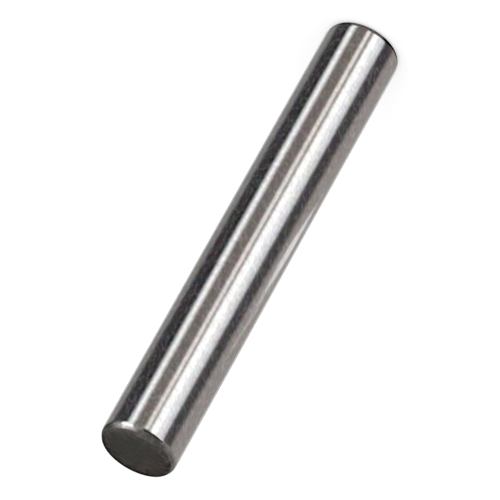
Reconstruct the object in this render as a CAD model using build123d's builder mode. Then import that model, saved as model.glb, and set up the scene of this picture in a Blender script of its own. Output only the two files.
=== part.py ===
from build123d import *
import os
from math import cos, radians, tan

os.makedirs("parts", exist_ok=True)

# Dowel pin: one length of hardened steel bar, turned with a lead-in at each end,
# tumbled to round its edges, then ground to size on its side.
# It stands on one end face. The origin is the centre of that face and +Z runs up
# the axis. Sizes are in millimetres, angles in degrees.

# Ground side
pin_diameter = 6.0
pin_length = 40.0

# Lead-in cone that starts the pin into its hole, the same at both ends
lead_in_length = 0.5
lead_in_angle = 30.0  # between the axis and the cone

# Tumbled edges
shoulder_blend = 0.8  # between the ground side and the cone
rim_blend = 0.4  # between the cone and the end face
blend_share = 0.45  # most of the cone's slant that either blend may take up

# Radii of the section
side_radius = pin_diameter / 2
face_radius = side_radius - lead_in_length * tan(radians(lead_in_angle))

# A blend takes up its radius times the tangent of half the turn, so a short cone
# limits both blends
cone_slant = lead_in_length / cos(radians(lead_in_angle))
shoulder_turn = lead_in_angle
rim_turn = 90 - lead_in_angle
shoulder_limit = blend_share * cone_slant / tan(radians(shoulder_turn / 2))
rim_limit = blend_share * cone_slant / tan(radians(rim_turn / 2))

with BuildPart() as dowel_pin:
    # Half of the long section, from the axis out to the ground side
    with BuildSketch(Plane.XZ) as half_section:
        with BuildLine() as outline:
            foot = Line((0, 0), (face_radius, 0))
            lower_cone = Line(foot @ 1, (side_radius, lead_in_length))
            side = Line(lower_cone @ 1, (side_radius, pin_length - lead_in_length))
            upper_cone = Line(side @ 1, (face_radius, pin_length))
            head = Line(upper_cone @ 1, (0, pin_length))
            Line(head @ 1, foot @ 0)
        make_face()

        # The shoulders are the two corners furthest from the axis
        shoulders = half_section.vertices().group_by(Axis.X)[-1]
        fillet(shoulders, radius=min(shoulder_blend, shoulder_limit))

        # The rims are the corners next out from the two on the axis
        rims = half_section.vertices().group_by(Axis.X)[1]
        fillet(rims, radius=min(rim_blend, rim_limit))
    revolve(axis=Axis.Z)

dowel_pin.part.label = "dowel_pin"
export_step(dowel_pin.part, "parts/dowel_pin.step")
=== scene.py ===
import math

import bpy
from mathutils import Matrix, Vector


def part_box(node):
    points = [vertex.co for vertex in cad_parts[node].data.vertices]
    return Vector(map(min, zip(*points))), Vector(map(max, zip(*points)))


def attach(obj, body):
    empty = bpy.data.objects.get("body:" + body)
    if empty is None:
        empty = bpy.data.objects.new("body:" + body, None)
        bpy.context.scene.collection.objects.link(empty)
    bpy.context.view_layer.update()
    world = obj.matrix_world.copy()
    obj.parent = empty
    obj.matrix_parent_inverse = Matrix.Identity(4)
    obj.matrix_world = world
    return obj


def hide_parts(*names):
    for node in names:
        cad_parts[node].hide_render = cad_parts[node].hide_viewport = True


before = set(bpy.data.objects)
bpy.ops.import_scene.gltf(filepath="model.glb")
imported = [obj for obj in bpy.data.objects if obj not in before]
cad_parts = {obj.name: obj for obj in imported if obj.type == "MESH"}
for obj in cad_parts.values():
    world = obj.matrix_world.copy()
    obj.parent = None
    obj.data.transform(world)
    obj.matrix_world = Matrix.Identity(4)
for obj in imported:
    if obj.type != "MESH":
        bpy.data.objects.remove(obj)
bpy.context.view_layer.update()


# Dowel pin
# One piece of hardened steel bar, turned with a lead-in cone at each end and tumbled, then
# ground and polished on its side only. The end faces stay as they were cut and hardened:
# flat, dull and darker than the side.

pin_low, pin_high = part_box("dowel_pin")
pin_length = pin_high.z - pin_low.z
side_radius = pin_high.x
lead_in_length = 0.0005
lead_in_angle = math.radians(30)
shoulder_blend = 0.0008
rim_blend = 0.0004

# How finely the pin is turned
blend_steps = 10
row_spacing = 0.00025
steps_round = 192


class Wire:
    """An output socket used in sums. Each operator adds one Math node to the socket's tree."""

    def __init__(self, socket):
        self.socket = socket
        self.tree = socket.id_data

    @staticmethod
    def node(tree, kind, settings=None, sockets=None, output=0):
        """Adds a node of that kind: its settings first, then the values or wires of its
        sockets. The setting called items is how many an Index Switch has."""
        made = tree.nodes.new(kind)
        for name, value in (settings or {}).items():
            if name == "items":
                for extra in range(value - len(made.index_switch_items)):
                    made.index_switch_items.new()
            else:
                setattr(made, name, value)
        for name, value in (sockets or {}).items():
            if isinstance(value, Wire):
                tree.links.new(value.socket, made.inputs[name])
            else:
                made.inputs[name].default_value = value
        return Wire(made.outputs[output])

    def worked(self, operation, first, second):
        values = {0: first, 1: second}
        return Wire.node(self.tree, "ShaderNodeMath", {"operation": operation}, values)

    def __add__(self, other):
        return self.worked("ADD", self, other)

    def __radd__(self, other):
        return self.worked("ADD", other, self)

    def __sub__(self, other):
        return self.worked("SUBTRACT", self, other)

    def __rsub__(self, other):
        return self.worked("SUBTRACT", other, self)

    def __mul__(self, other):
        return self.worked("MULTIPLY", self, other)

    def __rmul__(self, other):
        return self.worked("MULTIPLY", other, self)

    def __truediv__(self, other):
        return self.worked("DIVIDE", self, other)

    def at_most(self, other):
        return self.worked("MINIMUM", self, other)


def blended_section(node, size):
    """Half of the pin's long section as a curve, with its shoulders and rims blended. It is
    given the function that adds a node to the pin's tree."""

    # Corners, from the foot's centre out to the side, up and back in to the axis. The sweep
    # adds the side's radius to the first value of each and turns the second over.
    centre = 0.0 - size["Side radius"]
    inward = 0.0 - size["Lead-in depth"]
    lower_shoulder = 0.0 - size["Lead-in length"]
    head = 0.0 - size["Length"]
    upper_shoulder = head - lower_shoulder
    corners = [
        (centre, 0.0, 0.0),
        (inward, 0.0, size["Rim blend"]),
        (0.0, lower_shoulder, size["Shoulder blend"]),
        (0.0, upper_shoulder, size["Shoulder blend"]),
        (inward, head, size["Rim blend"]),
        (centre, head, 0.0),
    ]
    index = node("GeometryNodeInputIndex")

    def by_corner(column):
        """One column of the corners: in from the side, along the axis, or the blend."""
        values = {str(place): corner[column] for place, corner in enumerate(corners)}
        return node(
            "GeometryNodeIndexSwitch",
            {"data_type": "FLOAT", "items": len(corners)},
            {"Index": index, **values},
        )

    place = node("ShaderNodeCombineXYZ", None, {"X": by_corner(0), "Y": by_corner(1)})
    line = node("GeometryNodeMeshLine", None, {"Count": len(corners)})
    line = node("GeometryNodeSetPosition", None, {"Geometry": line, "Position": place})
    section = node("GeometryNodeMeshToCurve", None, {"Mesh": line})
    section = node(
        "GeometryNodeFilletCurve",
        {"mode": "POLY"},
        {
            "Curve": section,
            "Count": size["Blend steps"],
            "Radius": by_corner(2),
            "Limit Radius": True,
        },
    )

    # Long straight stretches get rows too, so that the shading stays even along them
    here = node("GeometryNodeInputPosition")
    after = node(
        "GeometryNodeFieldAtIndex",
        {"data_type": "FLOAT_VECTOR"},
        {"Index": node("GeometryNodeInputIndex") + 1, "Value": here},
    )
    stretch = node(
        "ShaderNodeVectorMath", {"operation": "DISTANCE"}, {0: here, 1: after}, "Value"
    )
    cuts = stretch / size["Row spacing"]
    return node("GeometryNodeSubdivideCurve", None, {"Curve": section, "Cuts": cuts})


def turned_pin(tree):
    """The pin as a lathe would make it: half of its long section, swept round the axis."""
    inputs = {
        "Side radius": "NodeSocketFloat",
        "Length": "NodeSocketFloat",
        "Lead-in length": "NodeSocketFloat",
        "Lead-in depth": "NodeSocketFloat",
        "Shoulder blend": "NodeSocketFloat",
        "Rim blend": "NodeSocketFloat",
        "Blend steps": "NodeSocketInt",
        "Row spacing": "NodeSocketFloat",
        "Steps round": "NodeSocketInt",
        "Steel": "NodeSocketMaterial",
    }
    for name, kind in inputs.items():
        tree.interface.new_socket(name, in_out="INPUT", socket_type=kind)
    tree.interface.new_socket("Pin", in_out="OUTPUT", socket_type="NodeSocketGeometry")
    given = tree.nodes.new("NodeGroupInput")
    size = {name: Wire(given.outputs[name]) for name in inputs}

    def node(kind, settings=None, sockets=None, output=0):
        return Wire.node(tree, kind, settings, sockets, output)

    section = blended_section(node, size)
    path = node(
        "GeometryNodeCurvePrimitiveCircle",
        {"mode": "RADIUS"},
        {"Resolution": size["Steps round"], "Radius": size["Side radius"]},
    )
    weld = 1e-6
    pin = node("GeometryNodeCurveToMesh", None, {"Curve": path, "Profile Curve": section})
    pin = node("GeometryNodeMergeByDistance", None, {"Geometry": pin, "Distance": weld})
    pin = node("GeometryNodeFlipFaces", None, {"Mesh": pin})
    pin = node("GeometryNodeSetShadeSmooth", None, {"Geometry": pin})
    pin = node("GeometryNodeRealizeInstances", None, {"Geometry": pin})
    pin = node("GeometryNodeSetMaterial", None, {"Geometry": pin, "Material": size["Steel"]})
    out = tree.nodes.new("NodeGroupOutput")
    tree.links.new(pin.socket, out.inputs["Pin"])


def ramp(value, low, high, top=1.0):
    """Rises smoothly from 0 to the top while the value goes from low to high."""
    return Wire.node(
        value.tree,
        "ShaderNodeMapRange",
        {"interpolation_type": "SMOOTHSTEP"},
        {"Value": value, "From Min": low, "From Max": high, "To Max": top},
    )


def noise(where, scale, stretch=(1.0, 1.0, 1.0), turn=0.0, detail=2.0, output=0):
    """Cloudy noise, turned about the pin's axis and then scaled along X, Y and Z."""
    tree = where.tree
    about_axis = {"rotation_type": "Z_AXIS"}
    turned = Wire.node(
        tree, "ShaderNodeVectorRotate", about_axis, {"Vector": where, "Angle": turn}
    )
    stretched = Wire.node(
        tree, "ShaderNodeMapping", None, {"Vector": turned, "Scale": stretch}
    )
    sockets = {"Vector": stretched, "Scale": scale, "Detail": detail}
    return Wire.node(tree, "ShaderNodeTexNoise", None, sockets, output)


def mixed(share, first, second, blend="MIX"):
    """The first colour, with the second laid over it in full where the share is 1."""
    tree = next(part.tree for part in (share, first, second) if isinstance(part, Wire))
    # A Mix node's colours are its inputs 6 and 7 and its output 2
    settings = {"data_type": "RGBA", "blend_type": blend}
    sockets = {"Factor": share, 6: first, 7: second}
    return Wire.node(tree, "ShaderNodeMix", settings, sockets, 2)


def shaded(depth, colour):
    """The colour darkened, to black where the depth is 1."""
    return mixed(depth, colour, (0.0, 0.0, 0.0, 1.0))


def face_colour(where):
    """An end face is mottled and paler towards its rim, the paleness most on the side towards
    the camera. The edge opposite is tinted brown to one side, and has a thin near-black
    crescent of painted shade where it turns away from the camera."""
    dull = (0.38, 0.37, 0.345, 1.0)
    pale_grey = (0.58, 0.55, 0.52, 1.0)
    tinted = (0.52, 0.405, 0.4, 1.0)
    # Near black for the painted shade along the edge that turns away from the camera
    painted_shade_black = (0.09, 0.07, 0.07, 1.0)
    tint_side = (-0.77 / side_radius, 0.64 / side_radius, 0.0)
    flattened = {"Vector": where, "Scale": (1.0, 1.0, 0.0)}
    flat = Wire.node(where.tree, "ShaderNodeMapping", None, flattened)

    def on_face(operation, other):
        sockets = {0: flat, 1: other}
        settings = {"operation": operation}
        return Wire.node(where.tree, "ShaderNodeVectorMath", settings, sockets, "Value")

    def from_point(x, y):
        """The distance from a point on the face, where the side's radius counts as 1."""
        return on_face("DISTANCE", (x * side_radius, y * side_radius, 0.0)) / side_radius

    wander = 0.3 * (noise(where, 1800.0) - 0.5)
    to_edge = ramp(from_point(0.0, 0.0) + wander, 0.5, 0.85)
    # Paler towards the rim, most on the side towards the camera
    to_pale = ramp(from_point(0.0, 0.15) + wander, 0.62, 0.98)
    across = on_face("DOT_PRODUCT", tint_side)
    tint = ramp(noise(where, 1500.0, detail=3.0) + 0.28 * across, 0.5, 0.75, top=0.85)
    # Painted shade: a thin near-black crescent along the edge that turns away from the camera
    painted_shade_share = ramp(from_point(-0.02, -0.15) + 0.45 * wander, 0.85, 0.96)
    colour = mixed(to_pale, dull, pale_grey)
    colour = mixed(tint, colour, tinted)
    colour = mixed(painted_shade_share, colour, painted_shade_black)

    cut_lines = noise(where, 1.0, (900.0, 5200.0, 1.0), turn=0.5, detail=3.0)
    blotches = noise(where, 2600.0, detail=3.0)
    mottling = ramp(cut_lines * 0.4 + blotches * 0.6, 0.35, 0.65)
    return shaded(mottling * (0.12 + to_edge * (0.5 + 0.3 * across)), colour)


def under_oil(surface, depth, patches):
    """The surface under a thin film of oil, which scatters a little light tinted in patches."""
    oil = (0.31, 0.29, 0.295, 1.0)
    film = Wire.node(
        depth.tree,
        "ShaderNodeBsdfPrincipled",
        None,
        {
            "Base Color": mixed(0.85, oil, patches, "LINEAR_LIGHT"),
            "Roughness": 1.0,
            "Specular IOR Level": 0.0,
        },
    )
    return Wire.node(depth.tree, "ShaderNodeMixShader", None, {0: depth, 1: surface, 2: film})


def hardened_steel():
    """Ground and polished on the side, turned and tumbled on the cones, dull on the faces."""
    material = bpy.data.materials.new("hardened_steel")
    material.use_nodes = True
    tree = material.node_tree
    steel = tree.nodes["Principled BSDF"]
    where = Wire.node(tree, "ShaderNodeTexCoord", None, None, "Object")
    z = Wire.node(tree, "ShaderNodeSeparateXYZ", None, {"Vector": where}, "Z")
    from_end = (z - pin_low.z).at_most(pin_high.z - z)
    ground = ramp(from_end, lead_in_length * 0.7, lead_in_length * 0.9)
    face = 1.0 - ramp(from_end, rim_blend * 0.15, rim_blend * 0.5)

    # Colour: bright steel on the side, a little greyer on the cones, dark on the faces
    bright = (0.816, 0.812, 0.808, 1.0)
    turned_pale = (0.7, 0.69, 0.675, 1.0)
    turned_dark = (0.47, 0.45, 0.435, 1.0)
    pale_spots = ramp(noise(where, 2400.0, detail=3.0), 0.38, 0.62)
    cone_colour = mixed(pale_spots, turned_dark, turned_pale)
    colour = mixed(face, mixed(ground, cone_colour, bright), face_colour(where))

    # Faint patches of blued and straw tint lie all over. Fine grit marks and wider clouds
    # shade the steel, and fine pits are paler and scatter light into the dark mirrored bands.
    # They are drawn out along the pin, and lean as the wheel's lay does, which winds round it.
    patches = noise(where, 1250.0, detail=1.0, output="Color")
    colour = mixed(0.04, colour, patches, "LINEAR_LIGHT")
    lay_lean = 0.38 / side_radius
    lay = z * lay_lean
    drawn_out = (1.25, 1.25, 1.0)
    grit = ramp(noise(where, 3000.0, drawn_out, lay, detail=1.0), 0.35, 0.65)
    pits = ramp(noise(where, 3350.0, drawn_out, lay, detail=1.0), 0.42, 0.72)
    clouds = ramp(noise(where, 1400.0, drawn_out, lay, detail=1.0), 0.3, 0.7)
    colour = shaded(grit * 0.06 + (1.0 - pits) * 0.12 + clouds * 0.085, colour)
    metal = 1.0 - ground * pits * 0.082

    # Roughness: grinding lines run round the side, and the faces are matt
    lines = noise(where, 1.0, (250.0, 250.0, 9000.0), detail=3.0)
    mottle = noise(where, 3500.0)
    side_roughness = 0.105 + 0.04 * lines + 0.04 * mottle
    face_roughness = 0.42 + 0.1 * mottle
    cone_roughness = 0.29 + 0.06 * mottle
    roughness = (
        ground * side_roughness
        + face * face_roughness
        + (1.0 - ground - face) * cone_roughness
    )

    # Relief: shallow lapping waves and grinding lines on the side, a cut grain elsewhere
    waves = noise(where, 1400.0, (1.0, 1.0, 0.5))
    grain = noise(where, 6000.0, detail=4.0)
    height = ground * (waves * 1.5 + lines * 0.15) + (1.0 - ground) * grain * 1.5
    relief_depth = 0.000002
    relief = Wire.node(
        tree,
        "ShaderNodeBump",
        None,
        {"Strength": 1.0, "Distance": relief_depth, "Height": height},
        "Normal",
    )
    looks = {"Base Color": colour, "Metallic": metal, "Roughness": roughness, "Normal": relief}
    for name, look in looks.items():
        tree.links.new(look.socket, steel.inputs[name])

    # Oil is left on the side, least of it where the clouds are
    oil_depth = ground * (0.014 + 0.03 * (1.0 - clouds))
    finish = under_oil(Wire(steel.outputs["BSDF"]), oil_depth, patches)
    tree.links.new(finish.socket, tree.nodes["Material Output"].inputs["Surface"])
    return material


pin_tree = bpy.data.node_groups.new("turned_pin", "GeometryNodeTree")
turned_pin(pin_tree)
pin = bpy.data.objects.new("dowel_pin_steel", bpy.data.meshes.new("pin_blank"))
bpy.context.collection.objects.link(pin)
lathe = pin.modifiers.new("lathe", "NODES")
lathe.node_group = pin_tree
pin_sizes = {
    "Side radius": side_radius,
    "Length": pin_length,
    "Lead-in length": lead_in_length,
    "Lead-in depth": lead_in_length * math.tan(lead_in_angle),
    "Shoulder blend": shoulder_blend,
    "Rim blend": rim_blend,
    "Blend steps": blend_steps,
    "Row spacing": row_spacing,
    "Steps round": steps_round,
    "Steel": hardened_steel(),
}
for socket in pin_tree.interface.items_tree:
    if socket.in_out == "INPUT":
        lathe[socket.identifier] = pin_sizes[socket.name]
evaluated = pin.evaluated_get(bpy.context.evaluated_depsgraph_get())
pin_mesh = bpy.data.meshes.new_from_object(evaluated)
pin.modifiers.remove(lathe)
pin.data = pin_mesh
pin_mesh.name = "dowel_pin_steel"
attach(pin, "root")
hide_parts("dowel_pin")


# Studio floor
# A white sheet that the pin stands on. It lifts to full white for the camera and for
# mirrored rays, and keeps the soft shade that the pin casts.

bpy.context.scene.view_settings.view_transform = "Standard"

floor_half_width = 3.0
floor_corners = [
    (x * floor_half_width, y * floor_half_width, 0)
    for x, y in ((-1, -1), (1, -1), (1, 1), (-1, 1))
]
floor_mesh = bpy.data.meshes.new("floor")
floor_mesh.from_pydata(floor_corners, [], [(0, 1, 2, 3)])
floor = bpy.data.objects.new("floor", floor_mesh)
bpy.context.collection.objects.link(floor)


def seen_directly(tree):
    """1 on rays from the camera and on mirrored or refracted ones, 0 on soft light."""
    path = tree.nodes.new("ShaderNodeLightPath")
    from_camera = Wire(path.outputs["Is Camera Ray"])
    mirrored = Wire(path.outputs["Is Glossy Ray"])
    refracted = Wire(path.outputs["Is Transmission Ray"])
    return (from_camera + mirrored + refracted).at_most(1.0)


def white_sheet():
    """Pale matt paper, with a glow that takes it to full white where it is seen directly."""
    paper_grey = (0.6, 0.6, 0.6, 1)
    glow = 0.56
    material = bpy.data.materials.new("white_sheet")
    material.use_nodes = True
    tree = material.node_tree
    tree.nodes.remove(tree.nodes["Principled BSDF"])
    paper = Wire.node(tree, "ShaderNodeBsdfDiffuse", None, {"Color": paper_grey})
    lift = Wire.node(
        tree,
        "ShaderNodeEmission",
        None,
        {"Color": (1, 1, 1, 1), "Strength": seen_directly(tree) * glow},
    )
    both = Wire.node(tree, "ShaderNodeAddShader", None, {0: paper, 1: lift})
    tree.links.new(both.socket, tree.nodes["Material Output"].inputs["Surface"])
    return material


floor_mesh.materials.append(white_sheet())


# Studio light
# A white room gives most of the light. One large soft lamp above the camera casts the
# pin's shade away behind it.

room = bpy.data.worlds.new("white_room")
bpy.context.scene.world = room
room.use_nodes = True
room_background = room.node_tree.nodes["Background"]
room_background.inputs["Color"].default_value = (1, 1, 1, 1)
room_light = 0.62
lift = seen_directly(room.node_tree) * (1.0 - room_light) + room_light
room.node_tree.links.new(lift.socket, room_background.inputs["Strength"])

lamp_distance = 0.6
lamp_elevation = math.radians(62)
lamp_data = bpy.data.lights.new("soft_lamp", "AREA")
lamp_data.shape = "SQUARE"
lamp_data.size = 0.4
lamp_data.energy = 1.2
lamp = bpy.data.objects.new("soft_lamp", lamp_data)
bpy.context.collection.objects.link(lamp)
lamp.visible_glossy = False
lamp_direction = Vector((0, -math.cos(lamp_elevation), math.sin(lamp_elevation)))
lamp.location = lamp_direction * lamp_distance
lamp.rotation_euler = lamp_direction.to_track_quat("Z", "Y").to_euler()


# Studio cards
# Printed card lies on the floor round the pin and stands round it as a tent. Only mirrored
# rays see it. The polished side mirrors the stripes on the floor as long straight bands.

card_height = 0.00004
card_gap = 0.0002
head_reach = 0.066  # about where the head of the pin mirrors the floor
floor_reach = 0.12
tent_radius = 0.35

# Parts of the tent meet at these elevations, in degrees from the foot
low_wall_top = 22
high_wall_top = 35
crown_edge = 66

white_ink = (0.9, 0.9, 0.9)
black_ink = (0.01, 0.01, 0.01)
soft_black_ink = (0.04, 0.037, 0.037)
tent_grey = (0.14, 0.137, 0.13)
crown_grey = (0.33, 0.32, 0.31)


def printed_card():
    """Card that glows in the ink printed on it, and gives no light to anything else."""
    material = bpy.data.materials.new("printed_card")
    material.use_nodes = True
    material.cycles.emission_sampling = "NONE"
    tree = material.node_tree
    tree.nodes.remove(tree.nodes["Principled BSDF"])
    ink = Wire.node(tree, "ShaderNodeAttribute", {"attribute_name": "ink"}, None, "Color")
    glow = Wire.node(tree, "ShaderNodeEmission", None, {"Color": ink})
    tree.links.new(glow.socket, tree.nodes["Material Output"].inputs["Surface"])
    return material


card_paper = printed_card()


def card_of(name, corners, faces, inks):
    """A card that only mirrored rays see, with one ink for each face."""
    mesh = bpy.data.meshes.new(name)
    mesh.from_pydata(corners, [], faces)
    ink = mesh.attributes.new("ink", "FLOAT_COLOR", "FACE")
    for face, colour in zip(ink.data, inks):
        face.color = (*colour, 1)
    mesh.materials.append(card_paper)
    card = bpy.data.objects.new(name, mesh)
    bpy.context.collection.objects.link(card)
    card.visible_camera = False
    card.visible_diffuse = False
    card.visible_transmission = False
    card.visible_volume_scatter = False
    card.visible_shadow = False


def outward(angle):
    """The level direction this many degrees from the camera's, towards the picture's right."""
    turned = math.radians(angle)
    return Vector((-math.sin(turned), -math.cos(turned), 0))


def from_foot(angle, distance, height):
    """A point on the line that points at this angle and leaves the foot at half of it, so that
    the side mirrors the line as a straight one along the pin."""
    return outward(angle / 2) * side_radius + outward(angle) * distance + Vector((0, 0, height))


def round_axis(angle, distance, height):
    """A point at this angle and distance from the pin's axis."""
    return outward(angle) * distance + Vector((0, 0, height))


def striped_sheet(name, place, rows, stripes):
    """Card in stripes that point away from the pin. Each row has its distance, its height and
    its share of the stripes' turn. Each stripe has the angle of its start, the turn of that
    start over the rows, the width of its fade from the stripe before, and its ink."""
    stops = [Vector((-180, 0, *stripes[0][3]))]
    for before, (start, turn, fade, ink) in zip(stripes, stripes[1:]):
        stops.append(Vector((start - fade / 2, turn, *before[3])))
        stops.append(Vector((start + fade / 2, turn, *ink)))
    stops.append(Vector((180, 0, *stripes[-1][3])))

    # A sector for each degree, or part of one
    edges = []
    sectors = []
    for stop, after in zip(stops, stops[1:]):
        steps = max(1, math.ceil(after[0] - stop[0]))
        for step in range(steps):
            edges.append(stop.lerp(after, step / steps)[:2])
            sectors.append(stop.lerp(after, (step + 0.5) / steps)[2:])
    edges.append(stops[-1][:2])
    sectors.append(stops[-1][2:])

    corners = []
    for start, turn in edges:
        for distance, height, share in rows:
            corners.append(place(start + turn * share, distance, height))
    faces = []
    inks = []
    for sector, ink in enumerate(sectors):
        for row in range(len(rows) - 1):
            here = sector * len(rows) + row
            across = (sector + 1) % len(sectors) * len(rows) + row
            faces.append((here, here + 1, across + 1, across))
            inks.append(ink)
    card_of(name, corners, faces, inks)


def tent_rows(low, high):
    """Rows of the tent's wall between two elevations in degrees, seen from the foot."""
    steps = 6
    rows = []
    for step in range(steps + 1):
        elevation = math.radians(low + (high - low) * step / steps)
        rows.append((tent_radius * math.cos(elevation), tent_radius * math.sin(elevation), 0))
    return rows


floor_steps = 12
floor_rows = []
for step in range(floor_steps + 1):
    distance = card_gap + (floor_reach - card_gap) * (step / floor_steps) ** 2
    floor_rows.append((distance, card_height, min(1, distance / head_reach)))
floor_stripes = [
    (-180, 0, 0, white_ink),
    (-174, 0, 2, soft_black_ink),
    (-164, 0, 2, white_ink),
    (-153, 0, 2, (0.30, 0.295, 0.295)),
    (-113.6, -5.3, 15, (0.047, 0.042, 0.045)),
    (-80, 0, 4, (0.006, 0.005, 0.006)),
    (-65.3, 2.5, 13, (1.42, 1.43, 1.445)),
    (-49.8, 2.3, 12, (0.22, 0.188, 0.176)),
    (-13.3, 0, 6, (1.2, 1.11, 1.06)),
    (-2.8, 0, 2, (0.4, 0.375, 0.35)),
    (7.0, -2.8, 6, (1.54, 1.54, 1.53)),
    (24, 0, 4, (1.19, 1.19, 1.2)),
    (36, 0, 4, (0.93, 0.93, 0.98)),
    (48.3, -1.2, 8, (0.069, 0.062, 0.067)),
    (88.0, -7.0, 14, (0.39, 0.355, 0.335)),
    (153, 0, 2, white_ink),
    (164, 0, 2, soft_black_ink),
    (174, 0, 2, white_ink),
]
striped_sheet("card_floor", from_foot, floor_rows, floor_stripes)

apron_rows = [
    (floor_reach - card_gap, card_height / 2, 0),
    (tent_radius, card_height / 2, 0),
]
apron_stripes = [
    (-180, 0, 0, black_ink),
    (-168, 0, 8, (0.035, 0.033, 0.03)),
    (-104, 0, 4, (0.2, 0.19, 0.185)),
    (-76, 0, 4, (1.15, 1.15, 1.15)),
    (-45.5, 0, 4, (0.28, 0.26, 0.25)),
    (-14, 0, 4, (0.3, 0.28, 0.27)),
    (6, 0, 8, (1.2, 1.2, 1.2)),
    (46, 0, 4, (0.27, 0.255, 0.25)),
    (165, 0, 8, black_ink),
]
striped_sheet("card_apron", from_foot, apron_rows, apron_stripes)

low_wall_stripes = [
    (-180, 0, 0, black_ink),
    (-165, 0, 8, (0.21, 0.2, 0.19)),
    (-128, 0, 4, (0.05, 0.047, 0.045)),
    (-106, 0, 4, (0.36, 0.34, 0.33)),
    (-79, 0, 3, (1.55, 1.55, 1.55)),
    (-44, 0, 3, (0.27, 0.255, 0.245)),
    (-14, 0, 3, (0.012, 0.01, 0.01)),
    (48, 0, 3, (0.24, 0.23, 0.22)),
    (165, 0, 8, black_ink),
]
striped_sheet("card_low_wall", from_foot, tent_rows(0, low_wall_top), low_wall_stripes)

high_wall_rows = tent_rows(low_wall_top, high_wall_top)
high_wall_stripes = [
    (-180, 0, 0, tent_grey),
    (-140, 0, 3, (0.33, 0.315, 0.3)),
    (-79, 0, 3, (2.5, 2.5, 2.5)),
    (-44, 0, 3, (0.31, 0.295, 0.285)),
    (-14, 0, 3, tent_grey),
    (50, 0, 3, (0.25, 0.24, 0.23)),
    (130, 0, 3, tent_grey),
]
striped_sheet("card_high_wall", from_foot, high_wall_rows, high_wall_stripes)

tent_stripes = [(-180, 0, 0, tent_grey)]
striped_sheet("card_tent", from_foot, tent_rows(high_wall_top, crown_edge), tent_stripes)
crown_stripes = [(-180, 0, 0, crown_grey)]
striped_sheet("card_crown", from_foot, tent_rows(crown_edge, 90), crown_stripes)

# A small dark ring at the foot, painted contact shade, is all that the lower cone mirrors
foot_shade_rows = [(0, card_height, 0), (side_radius + card_gap, card_height, 0)]
# The painted contact shade's tone changes at these angles round the foot
foot_shade_stripes = [
    (-180, 0, 0, (0.05, 0.045, 0.045)),
    (-60, 0, 4, (0.02, 0.018, 0.018)),
    (-38, 0, 4, (0.17, 0.16, 0.16)),
    (20, 0, 6, (0.0, 0.0, 0.0)),
    (48, 0, 4, (0.05, 0.045, 0.045)),
]
striped_sheet("card_foot_shade", round_axis, foot_shade_rows, foot_shade_stripes)


def leaf_card(name, start, reach, start_angle, reach_angle, half_width, ink, height):
    """A card with two pointed ends above the floor sheet, that the side mirrors as a streak.
    It starts at one angle and bends towards the other."""
    steps = 24
    corners = []
    for step in range(steps + 1):
        share = step / steps
        middle = reach_angle + (start_angle - reach_angle) * (1 - share) ** 2
        width = half_width * math.sin(math.pi * share)
        distance = start + (reach - start) * share
        corners.append(from_foot(middle - width, distance, height))
        corners.append(from_foot(middle + width, distance, height))
    faces = []
    for first in range(0, 2 * steps, 2):
        faces.append((first, first + 1, first + 3, first + 2))
    card_of(name, corners, faces, [ink] * len(faces))


leaf_card(
    "card_streak_soft",
    start=0.022,
    reach=0.052,
    start_angle=130,
    reach_angle=112,
    half_width=18,
    ink=(0.48, 0.46, 0.45),
    height=card_height * 1.25,
)
leaf_card(
    "card_streak",
    start=0.0255,
    reach=0.0435,
    start_angle=128,
    reach_angle=112,
    half_width=12,
    ink=(1.0, 0.97, 0.95),
    height=card_height * 1.5,
)
leaf_card(
    "card_wisp",
    start=0.044,
    reach=0.056,
    start_angle=130,
    reach_angle=102,
    half_width=5,
    ink=(0.6, 0.57, 0.55),
    height=card_height * 1.5,
)


# Camera
# The photograph's view: 30 degrees down on the standing pin through a long lens, turned so
# that the pin's top points to the picture's lower left.

picture_size = 500
pin_middle_pixel = Vector((252.78, 245.07))
pixels_per_radius = 40.554
view_distance = 137.6 * side_radius
view_elevation = math.radians(30.09)
view_roll = math.radians(29.276)
sensor_width = 0.036

forward = Vector((0, math.cos(view_elevation), -math.sin(view_elevation)))
level_up = Vector((0, math.sin(view_elevation), math.cos(view_elevation)))
level_right = Vector((1, 0, 0))
right = -math.cos(view_roll) * level_right - math.sin(view_roll) * level_up
up = math.sin(view_roll) * level_right - math.cos(view_roll) * level_up

camera_data = bpy.data.cameras.new("camera")
camera = bpy.data.objects.new("camera", camera_data)
bpy.context.collection.objects.link(camera)
bpy.context.scene.camera = camera
metres_per_pixel = side_radius / pixels_per_radius
from_middle = (pin_middle_pixel - Vector((picture_size, picture_size)) / 2) * metres_per_pixel
pin_middle = (pin_low + pin_high) / 2
place = pin_middle - forward * view_distance - right * from_middle.x + up * from_middle.y
turn = Matrix((right, up, -forward)).transposed().to_4x4()
camera.matrix_world = Matrix.Translation(place) @ turn
camera_data.sensor_width = sensor_width * 1000
camera_data.lens = sensor_width * 1000 * view_distance / (metres_per_pixel * picture_size)
camera_data.clip_start = 0.01
camera_data.clip_end = 50
